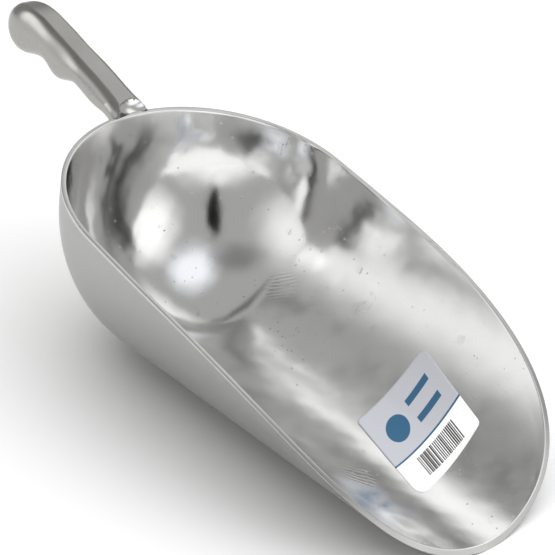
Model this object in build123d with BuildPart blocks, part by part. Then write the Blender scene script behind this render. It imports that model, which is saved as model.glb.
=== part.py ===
"""Round-bottomed cast aluminium scoop: trough, solid grip and product label.

Frame: millimetres, +Z up, +X from the grip towards the lip, +Y to the left.
The origin is on the table, under the middle of the whole scoop.
The trough lies flat on the table along its bottom line.
"""
from build123d import *
from math import atan, cos, degrees, pi, radians, sin, tan
import os

os.makedirs("parts", exist_ok=True)

# ---- driving dimensions (mm and degrees) ----

# trough: a slightly flared half-pipe closed by a rounded back
back_radius = 92.0  # outer radius where the rounded back meets the half-pipe
taper = 2.05  # half-angle of the flare towards the lip
back_depth = 78.0  # how far the rounded back bulges behind that place
wall = 2.8
back_x = -12.3  # where the bottom line starts, behind the middle of the scoop
lip_x = 197.2  # tip of the front lip
wall_top = 45.0  # height of the upright walls before the rim is trimmed

# rim, seen from the side: a straight fall that turns down into the lip
rim_fall = 11.5  # slope of the straight stretch
rim_turn_x = 37.7  # the straight stretch ends here
rim_turn_z = 81.9
rim_reach = 139.9  # the rim keeps heading the same way over this length, then drops
lip_drop = (188.9, 2.9)  # it comes down to about here, then runs out past the tip
lip_end = (198.2, -0.5)  # and dips just below the bottom line

# grip: straight top, finger hollows underneath, rounded butt
grip_rise = 17.6  # the grip climbs away from the rim
grip_root = (-94.5, 114.1)  # its top line starts here, x and z
grip_length = 102.3  # from there to the tip of the butt
grip_corner = 6.8  # rounding of its section
grip_width = 22.8
root_flare = 3.2  # it widens by this where it is buried in the trough's back
root_reach = 15.0  # over this length, which ends root_clear in front of the root
root_clear = 8.0
top_dip = 1.1  # the top line runs a little low at the root
top_dip_reach = 26.0
# turning points of the underside: distance from the root, depth below the top line
underside = [(-7.0, 19.0), (2.0, 12.0), (20.0, 14.5), (33.0, 14.0), (51.0, 22.0), (62.0, 20.0), (85.0, 29.2)]
butt_drop = 15.5  # the tip lies this far below the top line
butt_top = 28.0  # the top rounds off over this length
butt_under = 18.0  # the underside and the sides over this one
butt_squareness = 2.5  # of the butt's oval, seen from above: 2 is an ellipse
grip_stations = [-6, 1, 8, 17, 26, 33, 42, 51, 57, 62, 69, 77, 85, 90, 95, 99, 101.7]
thumb_radius = 8.0  # ground hollow where the grip's top comes down to the rim
thumb_reach = 14.0  # half its length across the grip
thumb_centre = (-90.8, 3.0, 115.9)

# label stuck inside the trough
label_corners = [(-32.0, 38.5), (23.5, 21.0), (36.0, -38.5), (-27.5, -19.5)]  # slanted outline
label_rounding = 4.0
label_thickness = 0.2
label_x = 115.1  # middle of the label
label_swing = 22.0  # degrees round the trough from its bottom line, to the left

# ---- frame of the trough's axis ----

# the oval of the back hands over to the flared side where their slopes agree
handover = atan(back_depth / back_radius * tan(radians(taper)))
flare_start = back_radius * cos(handover) + back_depth * sin(handover) * tan(radians(taper))
axis_origin = Vector(
    back_x - flare_start * sin(radians(taper)), 0, flare_start * cos(radians(taper))
)
axis_dir = Vector(cos(radians(taper)), 0, sin(radians(taper)))
axis_frame = Plane(origin=axis_origin, x_dir=axis_dir, z_dir=axis_dir.cross(Vector(0, 1, 0)))
trough_end = lip_x - back_x + 20.0


def trough_outline(inset, both_halves):
    """The trough's outline in the plane of its axis, moved in by inset: the left half or both."""
    depth = back_depth - inset
    radius = back_radius - inset
    turn = degrees(atan(depth / radius * tan(radians(taper))))
    with BuildSketch(axis_frame) as outline:
        with BuildLine():
            back = EllipticalCenterArc((0, 0), depth, radius, 90 + turn, arc_size=90 - turn)
            start = back @ 0
            end_y = start.Y + (trough_end - start.X) * tan(radians(taper))
            Polyline(start, (trough_end, end_y), (trough_end, 0), back @ 1)
        make_face()
        if both_halves:
            mirror(about=Plane.XZ)
    return outline.sketch


# ---- solid body of the trough, and the hollow in it ----

downward_turn = Axis(axis_origin, axis_dir * -1)

def trough_body(inset):
    """The trough as a full solid, moved in by inset: the lower half turned, upright walls above."""
    with BuildPart() as body:
        revolve(trough_outline(inset, False), axis=downward_turn, revolution_arc=180)
        extrude(trough_outline(inset, True), amount=wall_top)
    return body.part

outer_body = trough_body(0)
hollow = trough_body(wall)

# ---- what lies under the rim line, seen from the side ----

rim_slope = tan(radians(rim_fall))
far_back = back_x - 2 * back_radius
below = -10.0
with BuildPart() as under_rim:
    with BuildSketch(Plane.XZ):
        with BuildLine():
            turn = (rim_turn_x, rim_turn_z)
            back_end = (far_back, rim_turn_z + (rim_turn_x - far_back) * rim_slope)
            heading = (rim_turn_x + rim_reach, rim_turn_z - rim_reach * rim_slope)
            Line(back_end, turn)
            Bezier(turn, heading, lip_drop, lip_end)
            Polyline(lip_end, (lip_end[0], below), (far_back, below), back_end)
        make_face()
    extrude(amount=2 * back_radius, both=True)

# ---- bowl ----

with BuildPart() as bowl:
    add(outer_body)
    add(hollow, mode=Mode.SUBTRACT)
    add(under_rim.part, mode=Mode.INTERSECT)

# ---- grip ----

def rounding_off(along, reach, squareness=2.0):
    """1 up to reach before the tip of the butt, then an oval's fall to 0 at the tip."""
    share = max(0.0, (along - grip_length + reach) / reach)
    return (1 - share**squareness) ** (1 / squareness)


def grip_section(along):
    """Drop of the top line, depth and width of the grip at a distance from its root."""
    dip = top_dip * min(1.0, max(0.0, 1 - along / top_dip_reach))
    top = dip + butt_drop * (1 - rounding_off(along, butt_top))
    low = underside[-1][1]
    for (start, level), (end, next_level) in zip(underside, underside[1:]):
        if start <= along < end:
            ease = (1 - cos(pi * (along - start) / (end - start))) / 2
            low = level + (next_level - level) * ease
    low = butt_drop + (low - butt_drop) * rounding_off(along, butt_under)
    flare = root_flare * max(0.0, (root_clear - along) / root_reach)
    width = (grip_width + flare) * rounding_off(along, butt_under, butt_squareness)
    return top, low - top, width


grip_dir = Vector(-cos(radians(grip_rise)), 0, sin(radians(grip_rise)))
grip_up = Vector(sin(radians(grip_rise)), 0, cos(radians(grip_rise)))
grip_start = Vector(grip_root[0], 0, grip_root[1])

with BuildPart() as handle:
    for along in grip_stations:
        drop, depth, width = grip_section(along)
        section = Plane(
            origin=grip_start + grip_dir * along - grip_up * drop, x_dir=(0, -1, 0), z_dir=grip_dir
        )
        with BuildSketch(section):
            with Locations((0, -depth / 2)):
                RectangleRounded(width, depth, min(grip_corner, 0.49 * depth, 0.49 * width))
    loft()
    add(outer_body, mode=Mode.SUBTRACT)
    with BuildSketch(Plane(origin=thumb_centre, x_dir=(0, 1, 0), z_dir=(1, 0, 0))) as thumb_shape:
        with BuildLine():
            EllipticalCenterArc((0, 0), thumb_reach, thumb_radius, 0, arc_size=180)
            Line((-thumb_reach, 0), (thumb_reach, 0))
        make_face()
    revolve(thumb_shape.sketch, axis=Axis(thumb_centre, (0, 1, 0)), mode=Mode.SUBTRACT)

# ---- label ----

swing = radians(label_swing)
label_up = Vector(0, -sin(swing), cos(swing))  # from the label towards the trough's axis
label_centre = Vector(label_x, 0, axis_origin.Z + (label_x - axis_origin.X) * tan(radians(taper)))
label_frame = Plane(origin=label_centre, x_dir=(1, 0, 0), z_dir=label_up)

with BuildPart() as label:
    with BuildSketch(label_frame) as label_shape:
        with BuildLine():
            Polyline(*label_corners, close=True)
        make_face()
        fillet(label_shape.vertices(), label_rounding)
    extrude(amount=-2 * back_radius)
    add(hollow, mode=Mode.INTERSECT)
    add(trough_body(wall + label_thickness), mode=Mode.SUBTRACT)

bowl.part.label = "bowl"
export_step(bowl.part, "parts/bowl.step")
handle.part.label = "handle"
export_step(handle.part, "parts/handle.step")
label.part.label = "label"
export_step(label.part, "parts/label.step")
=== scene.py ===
"""Looks of the cast aluminium scoop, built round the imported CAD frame. Metres, +Z up."""

import math

import bmesh
import bpy
import numpy as np
from mathutils import Matrix, Vector


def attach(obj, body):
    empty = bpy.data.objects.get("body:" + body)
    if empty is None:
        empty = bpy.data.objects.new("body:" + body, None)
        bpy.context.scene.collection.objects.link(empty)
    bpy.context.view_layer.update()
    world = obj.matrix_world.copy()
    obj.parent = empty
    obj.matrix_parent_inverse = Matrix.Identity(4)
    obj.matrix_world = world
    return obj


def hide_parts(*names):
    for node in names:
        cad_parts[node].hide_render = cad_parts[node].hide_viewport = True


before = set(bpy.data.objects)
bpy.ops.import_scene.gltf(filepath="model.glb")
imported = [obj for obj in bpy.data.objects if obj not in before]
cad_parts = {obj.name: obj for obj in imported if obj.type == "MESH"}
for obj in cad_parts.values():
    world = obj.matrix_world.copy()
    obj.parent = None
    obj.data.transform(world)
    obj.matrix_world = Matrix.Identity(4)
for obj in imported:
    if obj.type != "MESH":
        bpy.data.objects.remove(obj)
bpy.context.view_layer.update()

# ---- shape of the trough, in metres; the same driving dimensions as the CAD part ----

BACK_RADIUS = 0.092
BACK_DEPTH = 0.078
TAPER = math.radians(2.05)
WALL = 0.0028
BACK_X = -0.0123
RIM_FALL = math.radians(11.5)
RIM_TURN = np.array((0.0377, 0.0819))
RIM_REACH = 0.1399
RIM_HEADING = RIM_TURN + RIM_REACH * np.array((1.0, -math.tan(RIM_FALL)))
RIM_DROP = np.array((0.1889, 0.0029))
RIM_END = np.array((0.1982, -0.0005))


def outline(inset):
    """(depth, handover x, plan half-width as a function of x) of the trough moved in by inset."""
    depth, radius = BACK_DEPTH - inset, BACK_RADIUS - inset
    turn = math.atan(depth / radius * math.tan(TAPER))
    start_x = -depth * math.sin(turn)
    start_y = radius * math.cos(turn)

    def half_width(x):
        oval = radius * np.sqrt(np.clip(1 - (x / depth) ** 2, 0, 1))
        return np.where(x < start_x, oval, start_y + (x - start_x) * math.tan(TAPER))

    return depth, start_x, half_width


# the oval of the back hands over to the flared side where their slopes agree
handover = math.atan(BACK_DEPTH / BACK_RADIUS * math.tan(TAPER))
flare_start = BACK_RADIUS * math.cos(handover) + BACK_DEPTH * math.sin(handover) * math.tan(TAPER)
AXIS_AT = np.array((BACK_X - flare_start * math.sin(TAPER), 0, flare_start * math.cos(TAPER)))
AXIS_X = np.array((math.cos(TAPER), 0, math.sin(TAPER)))
AXIS_Z = np.array((-math.sin(TAPER), 0, math.cos(TAPER)))
AXIS_Y = np.array((0.0, 1.0, 0.0))


def to_frame(p):
    """Points given along the trough's own axes as points of the shared frame."""
    return AXIS_AT + p[..., 0:1] * AXIS_X + p[..., 1:2] * AXIS_Y + p[..., 2:3] * AXIS_Z


t = np.linspace(0, 1, 2001)[:, None]
rim_curve = (
    RIM_TURN * (1 - t) ** 3
    + 3 * RIM_HEADING * t * (1 - t) ** 2
    + 3 * RIM_DROP * t**2 * (1 - t)
    + RIM_END * t**3
)


def rim_height(x):
    """Height of the rim line, seen from the side."""
    straight = RIM_TURN[1] + (RIM_TURN[0] - x) * math.tan(RIM_FALL)
    return np.where(x < RIM_TURN[0], straight, np.interp(x, rim_curve[:, 0], rim_curve[:, 1]))


def solve(low, high, test, steps=40):
    """Bisection: the last place where test is still true, elementwise."""
    for _ in range(steps):
        middle = (low + high) / 2
        good = test(middle)
        low = np.where(good, middle, low)
        high = np.where(good, high, middle)
    return low


FLARE_COLUMNS = 150
BACK_COLUMNS = 140
ROWS = 84


def trough_sheet(inset):
    """Grid of points, one column per place round the rim, rows from the bottom line to the rim.
    Columns run from the lip along the right side, round the back, and along the left side."""
    depth, start_x, half_width = outline(inset)

    def section(x, girth):
        """Point of the flared part at axis position x, girth along its section from the bottom."""
        radius = half_width(x)
        angle = np.minimum(girth / radius, math.pi / 2)
        above = np.maximum(girth - radius * math.pi / 2, 0)
        return np.stack([x + 0 * girth, radius * np.sin(angle), above - radius * np.cos(angle)], -1)

    def under_rim(point):
        placed = to_frame(point)
        return placed[..., 2] < rim_height(placed[..., 0])

    tip = solve(np.array(0.1), np.array(0.3), lambda x: under_rim(section(x, 0 * x)))
    q = np.linspace(0, 1, FLARE_COLUMNS + 1)
    xs = start_x + (tip - start_x) * np.sin(q * math.pi / 2)
    top = solve(0 * xs, 0 * xs + 0.3, lambda g: under_rim(section(xs, g)))
    rows = np.linspace(0, 1, ROWS + 1)[:, None]
    left = section(xs[None, :] + 0 * rows, rows * top[None, :])

    azimuth = np.linspace(math.pi / 2, math.pi, BACK_COLUMNS // 2 + 1)
    along, across = np.cos(azimuth), np.sin(azimuth)
    plan = solve(
        0 * azimuth, 0 * azimuth + 0.2,
        lambda r: (start_x + r * along > -depth) & (r * across <= half_width(start_x + r * along)),
    )

    def meridian(girth):
        """Points of the rounded back, one for each azimuth, girth along its section from the bottom."""
        angle = np.minimum(girth / plan, math.pi / 2)
        above = np.maximum(girth - plan * math.pi / 2, 0)
        out, down = np.sin(angle), np.cos(angle)

        def point(r):
            return np.stack([start_x + r * out * along, r * out * across, -r * down], -1)

        def within(r):
            p = point(r)
            width = half_width(p[..., 0])
            return (p[..., 0] > -depth) & (p[..., 1] ** 2 + p[..., 2] ** 2 <= width**2)

        lower = point(solve(0 * angle, 0 * angle + 0.2, within))
        wall = np.stack([start_x + plan * along + 0 * girth, plan * across + 0 * girth, above], -1)
        return np.where((above > 0)[..., None], wall, lower)

    top_back = solve(0 * azimuth, 0 * azimuth + 0.3, lambda g: under_rim(meridian(g)))
    back = meridian(rows * top_back[None, :])

    half = np.concatenate([back[:, ::-1], left[:, 1:]], 1)  # from the middle of the back to the lip
    other = half[:, 1:].copy()
    other[..., 1] *= -1
    return to_frame(np.concatenate([other[:, ::-1], half], 1))


def smooth_noise(points, size, seed, octaves=3):
    """Gentle unevenness: a sum of sine waves in seeded directions, about -1 to 1."""
    rng = np.random.default_rng(seed)
    total = np.zeros(points.shape[:-1])
    for octave in range(octaves):
        for _ in range(8):
            direction = rng.normal(size=3)
            direction /= np.linalg.norm(direction)
            phase = rng.uniform(0, 2 * math.pi)
            wave = 2 * math.pi / (size * rng.uniform(0.7, 1.4) / 2**octave)
            total += np.sin(points @ direction * wave + phase) / 2**octave / 4
    return total


def grid_normals(grid):
    """Unit normals of a grid of points, from its rows and columns."""
    du = np.gradient(grid, axis=1)
    dv = np.gradient(grid, axis=0)
    n = np.cross(du, dv)
    length = np.linalg.norm(n, axis=-1, keepdims=True)
    return n / np.maximum(length, 1e-12)


outer = trough_sheet(0.0)
inner = trough_sheet(WALL)

RIM_ROUND = 0.0006  # rounding of the rim's two edges
RIM_STEPS = 4


def rim_strip(outer, inner):
    """Rows of points from the outer sheet's top over the rim to the inner sheet's top."""
    a, b = outer[-1], inner[-1]
    across = b - a
    width = np.linalg.norm(across, axis=-1, keepdims=True)
    across = across / np.maximum(width, 1e-9)
    corner = np.minimum(RIM_ROUND, 0.35 * width)
    rows = []
    for top, below, side in ((a, outer[-3], across), (b, inner[-3], -across)):
        down = below - top
        down = down / np.maximum(np.linalg.norm(down, axis=-1, keepdims=True), 1e-9)
        steps = np.linspace(0, math.pi / 2, RIM_STEPS + 1)
        rows.append([top + corner * ((1 - math.sin(s)) * down + (1 - math.cos(s)) * side) for s in steps])
    return np.array(rows[0] + rows[1][::-1])


strip = rim_strip(outer, inner)
strip[:, (0, -1), 1] = 0.0  # the two halves of the rim meet on the middle line at the lip


def mesh_object(name, points, faces, material_index, materials):
    """A smooth-shaded mesh object in the scene, with a material slot for each face."""
    mesh = bpy.data.meshes.new(name)
    mesh.from_pydata(points.tolist(), [], faces)
    mesh.validate()
    for m in materials:
        mesh.materials.append(m)
    mesh.polygons.foreach_set("material_index", material_index)
    mesh.polygons.foreach_set("use_smooth", [True] * len(mesh.polygons))
    mesh.update()
    obj = bpy.data.objects.new(name, mesh)
    bpy.context.scene.collection.objects.link(obj)
    return obj


def clean_mesh(obj, weld=False):
    """Turn all faces outwards; weld also joins the points that lie on each other."""
    bm = bmesh.new()
    bm.from_mesh(obj.data)
    if weld:
        bmesh.ops.remove_doubles(bm, verts=bm.verts, dist=1e-6)
        bmesh.ops.dissolve_degenerate(bm, dist=1e-7, edges=bm.edges)
    bmesh.ops.recalc_face_normals(bm, faces=bm.faces)
    bm.to_mesh(obj.data)
    bm.free()


# ---- materials ----

def shader(name):
    """A new material, its node tree and its surface shader."""
    material = bpy.data.materials.new(name)
    material.use_nodes = True
    tree = material.node_tree
    return material, tree, tree.nodes["Principled BSDF"]


def add(tree, kind, **inputs):
    """A new node with some of its inputs set."""
    node = tree.nodes.new(kind)
    for key, value in inputs.items():
        node.inputs[key.replace("_", " ")].default_value = value
    return node


def maths(tree, operation, a, b=None, c=None):
    """The output of a maths node whose inputs are numbers or other outputs."""
    node = tree.nodes.new("ShaderNodeMath")
    node.operation = operation
    for socket, value in zip(node.inputs, (a, b, c)):
        if isinstance(value, (int, float)):
            socket.default_value = value
        elif value is not None:
            tree.links.new(value, socket)
    return node.outputs[0]


def between(tree, value, low, high):
    """1 where value lies between low and high."""
    middle, half = (low + high) / 2, (high - low) / 2
    return maths(tree, "COMPARE", value, middle, half)


MIX_FACTOR, MIX_A, MIX_B, MIX_RESULT = 0, 6, 7, 2  # the colour sockets of a mix node


def blend_colour(tree, factor, a, b):
    """Colour a where factor is 0 and b where it is 1."""
    node = tree.nodes.new("ShaderNodeMix")
    node.data_type = "RGBA"
    tree.links.new(factor, node.inputs[MIX_FACTOR])
    for socket, value in ((node.inputs[MIX_A], a), (node.inputs[MIX_B], b)):
        if isinstance(value, tuple):
            socket.default_value = (*value, 1)
        else:
            tree.links.new(value, socket)
    return node.outputs[MIX_RESULT]


def ramp(tree, value, start, end, low=0.0, high=1.0, smooth=False):
    """Low up to where value is start, high from where it is end, and a ramp between them."""
    node = add(tree, "ShaderNodeMapRange", From_Min=start, From_Max=end, To_Min=low, To_Max=high)
    if smooth:
        node.interpolation_type = "SMOOTHSTEP"
    tree.links.new(value, node.inputs["Value"])
    return node.outputs["Result"]


def bump(tree, height, normal=None, strength=1.0, distance=0.0002, inward=False):
    """The surface normal after a bump, or a dent if it goes inward."""
    node = add(tree, "ShaderNodeBump", Strength=strength, Distance=distance)
    node.invert = inward
    tree.links.new(height, node.inputs["Height"])
    if normal:
        tree.links.new(normal, node.inputs["Normal"])
    return node.outputs["Normal"]


def chatter(tree, where, normal, centre, along, pitch, reach):
    """A small patch of parallel ripples left by the dressing tool."""
    link = tree.links.new
    apart = tree.nodes.new("ShaderNodeVectorMath")
    apart.operation = "SUBTRACT"
    apart.inputs[1].default_value = centre
    link(where, apart.inputs[0])
    far = tree.nodes.new("ShaderNodeVectorMath")
    far.operation = "LENGTH"
    link(apart.outputs[0], far.inputs[0])
    # full strength in the middle of the patch
    patch = ramp(tree, far.outputs["Value"], reach * 0.4, reach, low=1.0, high=0.0, smooth=True)
    run = tree.nodes.new("ShaderNodeVectorMath")
    run.operation = "DOT_PRODUCT"
    run.inputs[1].default_value = tuple(Vector(along).normalized() * 2 * math.pi / pitch)
    link(apart.outputs[0], run.inputs[0])
    stray = add(tree, "ShaderNodeTexNoise", Scale=160.0, Detail=1.0)
    link(where, stray.inputs["Vector"])
    # the stray noise keeps the ripples from being straight
    phase = maths(tree, "MULTIPLY_ADD", stray.outputs["Fac"], 5.0, run.outputs["Value"])
    height = maths(tree, "MULTIPLY", maths(tree, "SINE", phase), patch)
    return bump(tree, height, normal, strength=0.26, distance=0.00012)


def metal(name, colour, low, high, grain, scale, pits=0.0, scratches=0.0, dull=0.0, ripples=()):
    """Aluminium with roughness from low to high, a fine grain, casting pits, stray scratches,
    roughness added towards the lip (dull), and patches of tool marks (ripples)."""
    material, tree, bsdf = shader(name)
    link = tree.links.new
    bsdf.inputs["Metallic"].default_value = 1.0
    where = tree.nodes.new("ShaderNodeTexCoord")
    blotch = add(tree, "ShaderNodeTexNoise", Scale=scale, Detail=4.0)
    fine = add(tree, "ShaderNodeTexNoise", Scale=scale * 22, Detail=3.0)
    for noise in (blotch, fine):
        link(where.outputs["Object"], noise.inputs["Vector"])
    roughness = ramp(tree, blotch.outputs["Fac"], 0.3, 0.7, low, high)
    if dull:
        # the polish is less fine towards the lip
        part = tree.nodes.new("ShaderNodeSeparateXYZ")
        link(where.outputs["Object"], part.inputs[0])
        toward_lip = ramp(tree, part.outputs["X"], -0.01, 0.05, high=dull)
        uneven = maths(tree, "ADD", blotch.outputs["Fac"], 0.5)
        roughness = maths(tree, "ADD", roughness, maths(tree, "MULTIPLY", toward_lip, uneven))
    link(roughness, bsdf.inputs["Roughness"])
    shade = blend_colour(tree, fine.outputs["Fac"], tuple(c * 0.94 for c in colour), colour)
    normal = bump(tree, fine.outputs["Fac"], strength=grain)
    marks = []
    if pits:
        # small round pits: only some of the cells have one, more of them where the crowd noise is high
        cells = add(tree, "ShaderNodeTexVoronoi", Scale=420.0)
        link(where.outputs["Object"], cells.inputs["Vector"])
        pick = tree.nodes.new("ShaderNodeSeparateColor")
        link(cells.outputs["Color"], pick.inputs[0])
        crowd = add(tree, "ShaderNodeTexNoise", Scale=28.0, Detail=1.0)
        link(where.outputs["Object"], crowd.inputs["Vector"])
        share = maths(tree, "MULTIPLY", maths(tree, "SUBTRACT", crowd.outputs["Fac"], 0.42), pits)
        chosen = maths(tree, "LESS_THAN", pick.outputs[0], share)
        round_pit = ramp(tree, cells.outputs["Distance"], 0.05, 0.24, low=1.0, high=0.0)
        marks.append(maths(tree, "MULTIPLY", round_pit, chosen))
    if scratches:
        # short stray scratches: thin level lines of stretched noise
        for turn, stretch in ((0.5, 26.0), (2.1, 34.0)):
            lie = tree.nodes.new("ShaderNodeMapping")
            lie.inputs["Rotation"].default_value = (0.3, 0.2, turn)
            lie.inputs["Scale"].default_value = (stretch, 1.0, 1.0)
            link(where.outputs["Object"], lie.inputs["Vector"])
            lines = add(tree, "ShaderNodeTexNoise", Scale=32.0, Detail=0.0)
            link(lie.outputs[0], lines.inputs["Vector"])
            level = maths(tree, "COMPARE", lines.outputs["Fac"], 0.5, 0.004)
            patch = add(tree, "ShaderNodeTexNoise", Scale=95.0, Detail=1.0)
            link(where.outputs["Object"], patch.inputs["Vector"])
            some = maths(tree, "GREATER_THAN", patch.outputs["Fac"], 1 - scratches)
            marks.append(maths(tree, "MULTIPLY", level, some))
    for mark in marks:
        half_mark = maths(tree, "MULTIPLY", mark, 0.5)
        shade = blend_colour(tree, half_mark, shade, tuple(c * 0.25 for c in colour))
        normal = bump(tree, mark, normal, strength=0.5, inward=True)
    for patch in ripples:
        normal = chatter(tree, where.outputs["Object"], normal, *patch)
    link(shade, bsdf.inputs["Base Color"])
    link(normal, bsdf.inputs["Normal"])
    return material


# centre of the patch, direction across its ripples, their pitch, and how far the patch reaches
TOOL_MARKS = (
    ((-0.013, 0.056, 0.023), (0.7, -0.6, -0.5), 0.0023, 0.0115),
    ((0.122, -0.021, 0.005), (0.65, -0.75, 0.15), 0.0033, 0.014),
)

polished = metal(
    "polished", (0.885, 0.883, 0.876), low=0.09, high=0.15, grain=0.04, scale=40.0,
    pits=0.75, scratches=0.32, dull=0.07, ripples=TOOL_MARKS,
)
ground = metal("ground_rim", (0.6, 0.6, 0.585), low=0.24, high=0.34, grain=0.2, scale=60.0)
satin = metal("satin", (0.395, 0.39, 0.372), low=0.22, high=0.30, grain=0.16, scale=30.0)
skin = metal("cast_skin", (0.44, 0.44, 0.427), low=0.34, high=0.44, grain=0.22, scale=30.0)

# ---- bowl ----

WAVE_LENGTH, WAVE_HEIGHT = 0.05, 0.00012
RIPPLE_LENGTH, RIPPLE_HEIGHT = 0.016, 0.000035
RIPPLE_BELOW_AXIS = 0.012  # they are strongest this far below the trough's axis
RIPPLE_SPREAD = 0.016
RIPPLE_END_X = 0.15  # and die out in front of this place
RIPPLE_FADE = 0.06
RIPPLE_ELSEWHERE = 0.4
RIM_FADE_SHARE = 1 / 12  # the waves fade over the uppermost part of the wall
LIP_FADE = 0.004  # and where the wall is lower than this, at the tip of the lip


def dressed(inner):
    """The inner sheet with the slight waves and ripples that polishing leaves."""
    wave = smooth_noise(inner, WAVE_LENGTH, seed=5) * WAVE_HEIGHT
    ripple = smooth_noise(inner, RIPPLE_LENGTH, seed=11) * RIPPLE_HEIGHT
    from_belt = (inner[..., 2] - AXIS_AT[2] + RIPPLE_BELOW_AXIS) / RIPPLE_SPREAD
    belt = np.exp(-(from_belt**2)) * np.clip((RIPPLE_END_X - inner[..., 0]) / RIPPLE_FADE, 0, 1)
    normal = grid_normals(inner)
    # both halves meet along the bottom line, so they share one direction there
    normal[0] = AXIS_Z * np.sign((normal[1] @ AXIS_Z)[:, None])
    fade = np.clip((1 - np.linspace(0, 1, ROWS + 1)) / RIM_FADE_SHARE, 0, 1)[:, None]
    fade = fade * np.clip(np.linalg.norm(inner[-1] - inner[0], axis=-1) / LIP_FADE, 0, 1)
    return inner + normal * ((wave + ripple * (RIPPLE_ELSEWHERE + belt)) * fade)[..., None]


POLISHED_SLOT, RIM_SLOT, SKIN_SLOT = 0, 1, 2
grid = np.concatenate([outer[:-1], strip, dressed(inner)[:-1][::-1]], 0)
n_rows, n_cols = grid.shape[:2]
points = grid.reshape(-1, 3)
faces, slots = [], []
for i in range(n_rows - 1):
    slot = SKIN_SLOT if i < ROWS - 1 else (RIM_SLOT if i < ROWS + RIM_STEPS + 1 else POLISHED_SLOT)
    for j in range(n_cols - 1):
        faces.append((i * n_cols + j, (i + 1) * n_cols + j, (i + 1) * n_cols + j + 1, i * n_cols + j + 1))
        slots.append(slot)
bowl = mesh_object("bowl_casting", points, faces, slots, [polished, ground, skin])
clean_mesh(bowl, weld=True)
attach(bowl, "root")
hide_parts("bowl")

# ---- grip ----

# the same driving dimensions as the CAD part, apart from the upper corners
GRIP_RISE = math.radians(17.6)
GRIP_ROOT = np.array((-0.0945, 0.0, 0.1141))
GRIP_CORNER = 0.0068
GRIP_CORNER_SHARE = 0.37  # most of the depth that a lower corner takes up
# the corners beside the grip's top are ovals: half-axis across, and share of the depth downwards
GRIP_TOP_ACROSS = 0.0065
GRIP_TOP_SHARE = 0.52
MOST_ACROSS = 0.49  # most of the width that any corner takes up
GRIP_LENGTH = 0.1023
GRIP_WIDTH = 0.0228
ROOT_FLARE = 0.0032  # it widens by this where it is buried in the trough's back
ROOT_REACH = 0.015  # over this length, which ends ROOT_CLEAR in front of the root
ROOT_CLEAR = 0.008
TOP_DIP = 0.0011  # the top line runs a little low at the root
TOP_DIP_REACH = 0.026
# turning points of the underside: distance from the root, depth below the top line
UNDERSIDE = (
    (-0.007, 0.019), (0.002, 0.012), (0.020, 0.0145), (0.033, 0.014),
    (0.051, 0.022), (0.062, 0.020), (0.085, 0.0292),
)
BUTT_DROP = 0.0155  # the tip lies this far below the top line
BUTT_TOP = 0.028  # the top rounds off over this length
BUTT_UNDER = 0.018  # the underside and the sides over this one
BUTT_SQUARENESS = 2.5
GRIP_START, GRIP_END = -0.006, 0.1021
GRIP_RING_STEP = 0.0005
GRIP_AROUND = 112  # points in a ring
TAIL_LENGTH = 0.006  # the rings close up over this last stretch
TAIL_RINGS = 30
TAIL_GAP = 0.0003
TIP_CROWN = 0.0004  # the tip stands this far behind the last ring
THUMB_CENTRE = np.array((-0.0908, 0.003, 0.1159))
THUMB_SIZE = np.array((0.008, 0.014, 0.008))
IN_WALL = 0.0012  # how far the grip's end sinks into the trough's wall


def rounding_off(along, reach, squareness=2.0):
    """1 up to reach before the tip of the butt, then an oval's fall to 0 at the tip."""
    share = np.clip((along - GRIP_LENGTH + reach) / reach, 0, 1)
    return (1 - share**squareness) ** (1 / squareness)


def grip_sections(along):
    """Drop of the top line, depth and width of the grip at distances from its root."""
    top = TOP_DIP * np.clip(1 - along / TOP_DIP_REACH, 0, 1)
    top = top + BUTT_DROP * (1 - rounding_off(along, BUTT_TOP))
    low = np.full_like(along, UNDERSIDE[-1][1])
    for (start, level), (end, next_level) in zip(UNDERSIDE, UNDERSIDE[1:]):
        ease = (1 - np.cos(math.pi * (along - start) / (end - start))) / 2
        here = (along >= start) & (along < end)
        low = np.where(here, level + (next_level - level) * ease, low)
    low = BUTT_DROP + (low - BUTT_DROP) * rounding_off(along, BUTT_UNDER)
    flare = ROOT_FLARE * np.clip((ROOT_CLEAR - along) / ROOT_REACH, 0, None)
    width = (GRIP_WIDTH + flare) * rounding_off(along, BUTT_UNDER, BUTT_SQUARENESS)
    return top, low - top, width


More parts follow.
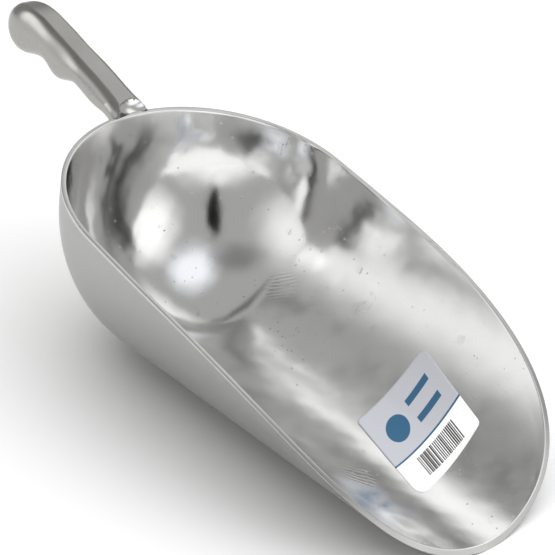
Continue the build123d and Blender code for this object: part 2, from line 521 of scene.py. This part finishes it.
def section_ring(depth, width):
    """Offsets to the side and up of one section, from its middle: a rounded rectangle walked at an
    even pace. The top's two corners reach far down the sides, which makes the sides gently round."""
    angles = np.linspace(0, 2 * math.pi, GRIP_AROUND, endpoint=False) + math.pi / GRIP_AROUND
    top_across, top_down = min(GRIP_TOP_ACROSS, MOST_ACROSS * width), GRIP_TOP_SHARE * depth
    low_across = min(GRIP_CORNER, MOST_ACROSS * width)
    low_down = min(GRIP_CORNER, GRIP_CORNER_SHARE * depth)
    side = depth - top_down - low_down
    corners = (
        # side of the corner, its two half-axes, and the straight run that follows it
        (1, 1, top_across, top_down, width - 2 * top_across),
        (-1, 1, top_across, top_down, side),
        (-1, -1, low_across, low_down, width - 2 * low_across),
        (1, -1, low_across, low_down, side),
    )
    bends = [math.pi / 2 * math.sqrt((c[2] ** 2 + c[3] ** 2) / 2) for c in corners]
    total = sum(bends) + sum(c[4] for c in corners)
    walked = angles / (2 * math.pi) * total
    y, z = np.zeros(GRIP_AROUND), np.zeros(GRIP_AROUND)
    at = 0.0
    for quarter, ((cy, cz, across, down, straight), bend) in enumerate(zip(corners, bends)):
        middle_y, middle_z = cy * (width / 2 - across), cz * (depth / 2 - down)
        k = (walked >= at) & (walked < at + bend)
        a = (quarter + (walked[k] - at) / bend) * math.pi / 2
        y[k], z[k] = middle_y + across * np.cos(a), middle_z + down * np.sin(a)
        at += bend
        k = (walked >= at) & (walked < at + straight)
        a = (quarter + 1) * math.pi / 2
        ahead = walked[k] - at
        y[k] = middle_y + across * math.cos(a) - ahead * math.sin(a)
        z[k] = middle_z + down * math.sin(a) + ahead * math.cos(a)
        at += straight
    return y, z


def grip_mesh():
    """Rings of points along the grip, and which of them lie in the hollow for the thumb."""
    tip = GRIP_LENGTH - GRIP_END
    turn = np.linspace(math.acos(1 - TAIL_LENGTH / BUTT_UNDER), math.acos(1 - tip / BUTT_UNDER), TAIL_RINGS)
    tail = GRIP_LENGTH - BUTT_UNDER * (1 - np.cos(turn))
    stations = np.concatenate([np.arange(GRIP_START, tail[0] - TAIL_GAP, GRIP_RING_STEP), tail])
    forward = np.array((-math.cos(GRIP_RISE), 0, math.sin(GRIP_RISE)))
    up = np.array((math.sin(GRIP_RISE), 0, math.cos(GRIP_RISE)))
    rings = []
    for along, drop, depth, width in zip(stations, *grip_sections(stations)):
        y, z = section_ring(depth, width)
        z = z - depth / 2 - drop
        rings.append(GRIP_ROOT + forward * along + up * z[:, None] + AXIS_Y * y[:, None])
    grid = np.array(rings)
    # the ground hollow for the thumb
    q = 1 - ((grid[..., 0] - THUMB_CENTRE[0]) / THUMB_SIZE[0]) ** 2
    q = q - ((grid[..., 1] - THUMB_CENTRE[1]) / THUMB_SIZE[1]) ** 2
    floor_z = THUMB_CENTRE[2] - THUMB_SIZE[2] * np.sqrt(np.clip(q, 0, None))
    hollowed = (q > 0) & (grid[..., 2] > floor_z)
    grid[..., 2] = np.where(hollowed, floor_z, grid[..., 2])
    # the end is sunk into the trough's wall
    rel = grid - AXIS_AT
    ax, az = rel @ AXIS_X, rel @ AXIS_Z
    off = np.where(az > 0, grid[..., 1] ** 2, grid[..., 1] ** 2 + az**2) / BACK_RADIUS**2
    wall_x = -BACK_DEPTH * np.sqrt(np.clip(1 - off, 0, 1)) + IN_WALL
    pull = np.maximum(ax - wall_x, 0)
    grid = grid - pull[..., None] * AXIS_X
    return grid, hollowed & (pull == 0)


SATIN_SLOT, THUMB_SLOT = 0, 1
grid, hollowed = grip_mesh()
rings, around = grid.shape[:2]
points = grid.reshape(-1, 3)
faces, slots = [], []
for i in range(rings - 1):
    for j in range(around):
        k = (j + 1) % around
        faces.append((i * around + j, (i + 1) * around + j, (i + 1) * around + k, i * around + k))
        slots.append(THUMB_SLOT if hollowed[i, j] and hollowed[i + 1, k] else SATIN_SLOT)
faces.append(tuple(range(around))[::-1])
slots.append(SATIN_SLOT)
tip = len(points)
points = np.concatenate([points, grid[-1].mean(0)[None] + np.array((-TIP_CROWN, 0, 0))])
for j in range(around):
    faces.append(((rings - 1) * around + j, tip, (rings - 1) * around + (j + 1) % around))
    slots.append(SATIN_SLOT)
grip = mesh_object("grip_casting", points, faces, slots, [satin, polished])
clean_mesh(grip)
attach(grip, "root")
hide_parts("handle")

# ---- label ----

LABEL_CORNERS = np.array([(-32.0, 38.5), (23.5, 21.0), (36.0, -38.5), (-27.5, -19.5)]) / 1000
LABEL_ROUNDING = 0.004
LABEL_X = 0.1151
LABEL_SWING = math.radians(22.0)
LABEL_LIFT = 0.0003  # its face stands this far off the plain wall, clear of the wall's waves
LABEL_SINK = 0.0002  # its back lies this far under the plain wall
LABEL_RINGS = 26


def rounded(corners, radius, steps=8, side_steps=16):
    """Outline of a polygon with rounded corners, going round once."""
    out = []
    count = len(corners)
    arcs = []
    for k in range(count):
        here, before, after = corners[k], corners[k - 1], corners[(k + 1) % count]
        a = (before - here) / np.linalg.norm(before - here)
        b = (after - here) / np.linalg.norm(after - here)
        half = math.acos(np.clip(a @ b, -1, 1)) / 2
        middle = here + (a + b) / np.linalg.norm(a + b) * radius / math.sin(half)
        start, end = here + a * radius / math.tan(half), here + b * radius / math.tan(half)
        t0 = math.atan2(*(start - middle)[::-1])
        sweep = (math.atan2(*(end - middle)[::-1]) - t0 + math.pi) % (2 * math.pi) - math.pi
        arcs.append([middle + radius * np.array((math.cos(t0 + sweep * f), math.sin(t0 + sweep * f)))
                     for f in np.linspace(0, 1, steps + 1)])
    for k in range(count):
        out += arcs[k]
        begin, stop = arcs[k][-1], arcs[(k + 1) % count][0]
        out += [begin + (stop - begin) * f for f in np.linspace(0, 1, side_steps + 1)[1:-1]]
    return np.array(out)


def on_trough(flat, lift):
    """Points of the label's plane moved out to the trough's inner face."""
    up = np.array((0, -math.sin(LABEL_SWING), math.cos(LABEL_SWING)))
    side = np.cross(up, (1.0, 0, 0))
    axis_z = AXIS_AT[2] + (LABEL_X - AXIS_AT[0]) * math.tan(TAPER)
    start = np.array((LABEL_X, 0, axis_z)) + flat[..., 0:1] * np.array((1.0, 0, 0)) + flat[..., 1:2] * side
    _, _, half_width = outline(WALL)

    def inside(t):
        rel = start - up * t[..., None] - AXIS_AT
        ax, az = rel @ AXIS_X, rel @ AXIS_Z
        return np.hypot(rel[..., 1], az) < half_width(ax)

    reach = solve(0 * flat[..., 0], 0 * flat[..., 0] + 0.15, inside)
    return start - up * (reach - lift)[..., None]


ring = rounded(LABEL_CORNERS, LABEL_ROUNDING)
centre = LABEL_CORNERS.mean(0)
scales = np.linspace(0, 1, LABEL_RINGS + 1)[1:]
flat = np.concatenate([centre[None], *[centre + (ring - centre) * f for f in scales]])
count = len(ring)
faces = [(0, 1 + j, 1 + (j + 1) % count) for j in range(count)]
for i in range(LABEL_RINGS - 1):
    for j in range(count):
        k = (j + 1) % count
        a, b = 1 + i * count, 1 + (i + 1) * count
        faces.append((a + j, b + j, b + k, a + k))
top_points = on_trough(flat, np.full(len(flat), LABEL_LIFT))
low_points = on_trough(flat, np.full(len(flat), -LABEL_SINK))
n_top = len(top_points)
faces += [tuple(n_top + k for k in face[::-1]) for face in faces]
for j in range(count):
    k = (j + 1) % count
    faces.append((n_top - count + j, 2 * n_top - count + j, 2 * n_top - count + k, n_top - count + k))
points = np.concatenate([top_points, low_points])
flat_all = np.concatenate([flat, flat])

# the print is laid out from the label's rear edge (0) to its front edge (1), and across it
film, tree, bsdf = shader("label_film")
label = mesh_object("label_film", points, faces, [0] * len(faces), [film])
along = (LABEL_CORNERS[1] - LABEL_CORNERS[0] + LABEL_CORNERS[2] - LABEL_CORNERS[3]) / 2
across = (LABEL_CORNERS[0] - LABEL_CORNERS[3] + LABEL_CORNERS[1] - LABEL_CORNERS[2]) / 2
place = np.linalg.solve(np.stack([along, across], 1), (flat_all - centre).T).T + 0.5
layer = label.data.uv_layers.new(name="print")
for loop in label.data.loops:
    layer.data[loop.index].uv = place[loop.vertex_index]
clean_mesh(label)

# ---- the label's print: grey film with a generic mark, a blue line, a white end with a bar code ----

GREY_FILM = (0.48, 0.49, 0.53)
WHITE = (0.95, 0.95, 0.95)
BLUE = (0.022, 0.105, 0.2)
INK = (0.02, 0.02, 0.022)
# shares of the label's length, then of its width
WHITE_FROM = 0.64
LINE = (0.622, 0.642)
CODE_LENGTH = (0.70, 0.925)
CODE_WIDTH = (0.245, 0.79)
CODE_PITCH = 44.0  # bars and gaps over the label's width
DISC_AT = (0.34, 0.30)
DISC_RADIUS = 0.14
STRIPES = ((0.20, 0.27), (0.41, 0.48))
STRIPE_WIDTH = (0.53, 0.86)

uv = tree.nodes.new("ShaderNodeUVMap")
uv.uv_map = "print"
split = tree.nodes.new("ShaderNodeSeparateXYZ")
tree.links.new(uv.outputs[0], split.inputs[0])
length_at, across_at = split.outputs[0], split.outputs[1]


def box(length_span, width_span):
    """1 inside a box of the print, given by its spans."""
    inside_length = between(tree, length_at, *length_span)
    return maths(tree, "MULTIPLY", inside_length, between(tree, across_at, *width_span))


colour = blend_colour(tree, maths(tree, "GREATER_THAN", length_at, WHITE_FROM), GREY_FILM, WHITE)
colour = blend_colour(tree, between(tree, length_at, *LINE), colour, BLUE)
# bars that encode nothing: each takes up a random 0.4 to 0.9 of its pitch
random_width = tree.nodes.new("ShaderNodeTexWhiteNoise")
random_width.noise_dimensions = "1D"
pitch = maths(tree, "MULTIPLY", across_at, CODE_PITCH)
tree.links.new(maths(tree, "FLOOR", pitch), random_width.inputs["W"])
share = maths(tree, "MULTIPLY_ADD", random_width.outputs["Value"], 0.5, 0.4)
dark = maths(tree, "LESS_THAN", maths(tree, "FRACT", pitch), share)
colour = blend_colour(tree, maths(tree, "MULTIPLY", dark, box(CODE_LENGTH, CODE_WIDTH)), colour, INK)
# a plain disc and two stripes
out_u = maths(tree, "SUBTRACT", length_at, DISC_AT[0])
out_v = maths(tree, "SUBTRACT", across_at, DISC_AT[1])
square_away = maths(tree, "ADD", maths(tree, "POWER", out_u, 2.0), maths(tree, "POWER", out_v, 2.0))
motif = maths(tree, "LESS_THAN", maths(tree, "SQRT", square_away), DISC_RADIUS)
for stripe in STRIPES:
    motif = maths(tree, "MAXIMUM", motif, box(stripe, STRIPE_WIDTH))
colour = blend_colour(tree, motif, colour, BLUE)
tree.links.new(colour, bsdf.inputs["Base Color"])
bsdf.inputs["Roughness"].default_value = 0.38
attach(label, "root")
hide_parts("label")

# ---- floor ----

FLOOR_RADIUS = 14  # far enough to fill the background
bpy.ops.mesh.primitive_circle_add(vertices=96, radius=FLOOR_RADIUS, fill_type="NGON", location=(0, 0, 0))
floor = bpy.context.object
floor.name = "floor"
floor_paint, _, floor_shader = shader("floor")
floor_shader.inputs["Base Color"].default_value = (0.86, 0.86, 0.86, 1)
floor_shader.inputs["Roughness"].default_value = 0.9
floor.data.materials.append(floor_paint)

# ---- light ----

world = bpy.data.worlds.new("studio")
bpy.context.scene.world = world
world.use_nodes = True
world.node_tree.nodes["Background"].inputs["Color"].default_value = (0.41, 0.41, 0.405, 1)


def panel(name, azimuth, elevation, half_width, half_height, strength, distance=1.6,
          softness=0.45, tint=(1, 1, 1), around=(-0.06, 0.03, 0.04)):
    """A soft glowing card facing the scoop, even in its middle and fading to its edge."""
    bpy.ops.mesh.primitive_plane_add(size=2)
    card = bpy.context.object
    card.name = name
    a, e = math.radians(azimuth), math.radians(elevation)
    towards = Vector((math.cos(e) * math.cos(a), math.cos(e) * math.sin(a), math.sin(e)))
    card.location = towards * distance + Vector(around)
    card.rotation_euler = towards.to_track_quat("Z", "Y").to_euler()
    card.scale = (half_width, half_height, 1)
    material = bpy.data.materials.new(name)
    material.use_nodes = True
    tree = material.node_tree
    tree.nodes.clear()
    where = tree.nodes.new("ShaderNodeTexCoord")
    fall = tree.nodes.new("ShaderNodeTexGradient")
    fall.gradient_type = "SPHERICAL"
    glow = add(tree, "ShaderNodeEmission", Strength=strength, Color=(*tint, 1))
    clear = tree.nodes.new("ShaderNodeBsdfTransparent")
    mix = tree.nodes.new("ShaderNodeMixShader")
    out = tree.nodes.new("ShaderNodeOutputMaterial")
    link = tree.links.new
    link(where.outputs["Object"], fall.inputs["Vector"])
    link(ramp(tree, fall.outputs["Fac"], 0.0, softness, smooth=True), mix.inputs[0])
    link(clear.outputs[0], mix.inputs[1])
    link(glow.outputs[0], mix.inputs[2])
    link(mix.outputs[0], out.inputs["Surface"])
    card.data.materials.append(material)
    card.visible_camera = False
    card.visible_shadow = False
    return card


# what the metal reflects: azimuth and elevation in degrees, half-sizes, strength, distance
panel("card_high", 15, 60, 0.74, 0.70, 1.15, softness=0.8, tint=(0.93, 0.95, 1.0))
panel("card_low", 31, 22, 0.84, 0.74, 1.2, softness=0.7)
panel("card_side", 258, 30, 1.60, 0.98, 1.0, softness=0.9)
panel("card_skirt", 240, 2, 1.9, 0.45, 0.70, 1.9, softness=0.8)
panel("card_front", 337, -3, 1.15, 0.54, 1.1, softness=0.85)
panel("card_far", 106, 44, 1.3, 0.58, 1.12, softness=0.8)
panel("card_streak", 152, 54, 0.38, 0.07, 1.1, 1.5, softness=0.8)
# cards dimmer than what is behind them
panel("card_shade", 306, 62, 0.8, 0.42, 0.23, 1.5, softness=0.9)
panel("card_bar", 197, 54, 0.50, 0.09, 0.20, 1.5, softness=0.8)
panel("card_beam", 178, 67, 2.2, 0.26, 0.13, 3.0, softness=0.9)
# two small cards close by, seen only as reflections: a dark thing before the trough, and a bright
# card beside the grip
dark_card = panel(
    "card_dark", 347, 37, 0.032, 0.105, 0.006, 0.21, softness=0.55, around=(0, 0, 0.04)
)
dark_card.visible_diffuse = False
grip_card = panel(
    "card_grip", 228, 19, 0.13, 0.24, 2.4, 0.5, softness=0.6, around=(-0.16, -0.02, 0.12)
)
grip_card.visible_diffuse = False

# a broad top light for the floor and the label; it isn't reflected in the metal
top = bpy.data.lights.new("top", "AREA")
top.shape = "DISK"
top.size = 5.0
top.energy = 100
top_obj = bpy.data.objects.new("top", top)
top_obj.location = (0.2, 0.3, 2.4)
bpy.context.scene.collection.objects.link(top_obj)
top_obj.visible_glossy = False

# ---- camera ----

CAMERA_AT = Vector((0.583, -0.656, 0.545))
HEADING, DOWN, ROLL = 130.1, 29.1, 10.1  # degrees: compass of the view, its dip, its tilt
camera_data = bpy.data.cameras.new("camera")
camera = bpy.data.objects.new("camera", camera_data)
bpy.context.scene.collection.objects.link(camera)
bpy.context.scene.camera = camera
camera.matrix_world = (
    Matrix.Translation(CAMERA_AT)
    @ Matrix.Rotation(math.radians(HEADING - 90), 4, "Z")
    @ Matrix.Rotation(math.radians(90 - DOWN), 4, "X")
    @ Matrix.Rotation(math.radians(ROLL), 4, "Z")
)
camera_data.lens = 122.0
camera_data.sensor_width = 36.0
bpy.context.scene.view_settings.view_transform = "Standard"
